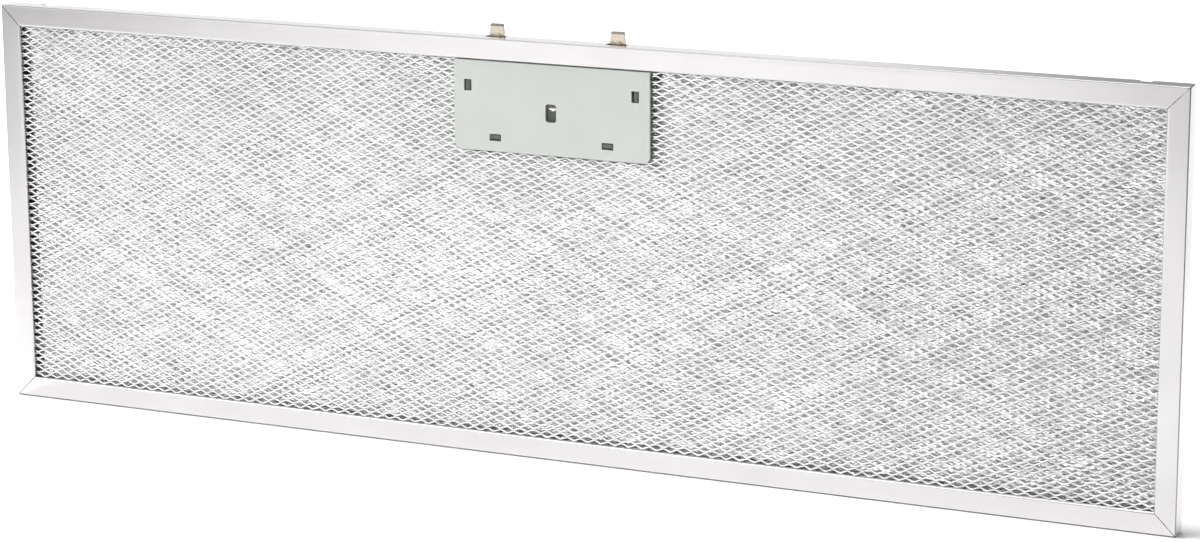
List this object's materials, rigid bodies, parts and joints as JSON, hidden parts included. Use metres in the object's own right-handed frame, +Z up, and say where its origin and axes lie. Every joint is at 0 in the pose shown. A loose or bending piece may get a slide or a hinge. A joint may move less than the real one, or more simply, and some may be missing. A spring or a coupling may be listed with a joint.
{
  "type": "range hood grease filter cassette",
  "caption": "Long aluminium-framed expanded-mesh grease filter of a range hood, with a finger latch that draws in its steel tongues.",
  "frame": {"origin": "middle of the lower long edge, at mid thickness", "axes": "+X along the width, +Z up through the height to the edge with the latch tongues, +Y through the thickness from the face with the latch plate to the face with the finger pull"},
  "size_m": [0.53, 0.009, 0.1812],
  "materials": {
    "rail_aluminium": "satin bright",
    "key_aluminium": "mill",
    "guard_mesh": "bright",
    "filter_foil": "crinkled bright foil",
    "latch_plate_plastic": "satin moulded",
    "latch_housing_plastic": "satin moulded",
    "latch_slider_plastic": "satin moulded",
    "tongue_steel": "warm passivated",
    "rivet_steel": "bright",
    "spring_steel": "bright drawn"
  },
  "bodies": {
    "cassette": {"rail_top": "rail_aluminium", "rail_bottom": "rail_aluminium", "rail_left": "rail_aluminium", "rail_right": "rail_aluminium", "corner_key_top_left": "key_aluminium", "corner_key_top_right": "key_aluminium", "corner_key_bottom_left": "key_aluminium", "corner_key_bottom_right": "key_aluminium", "guard_mesh_front": "guard_mesh", "guard_mesh_back": "guard_mesh", "filter_layer_1": "filter_foil", "filter_layer_2": "filter_foil", "filter_layer_3": "filter_foil", "filter_layer_4": "filter_foil", "filter_layer_5": "filter_foil", "latch_back_plate": "latch_plate_plastic", "latch_housing": "latch_housing_plastic", "latch_spring_left": "spring_steel", "latch_spring_right": "spring_steel"},
    "latch": {"latch_slider": "latch_slider_plastic", "latch_tongue_left": "tongue_steel", "latch_tongue_right": "tongue_steel", "latch_rivets": "rivet_steel"}
  },
  "joints": [
    {"name": "latch_slide", "type": "slide", "parent": "cassette", "child": "latch", "axis": [0, 0, -1], "range_m": [0, 0.006], "stiffness_N_per_m": 800, "springref_m": -0.003, "deforming": ["latch_spring_left", "latch_spring_right"]}
  ]
}
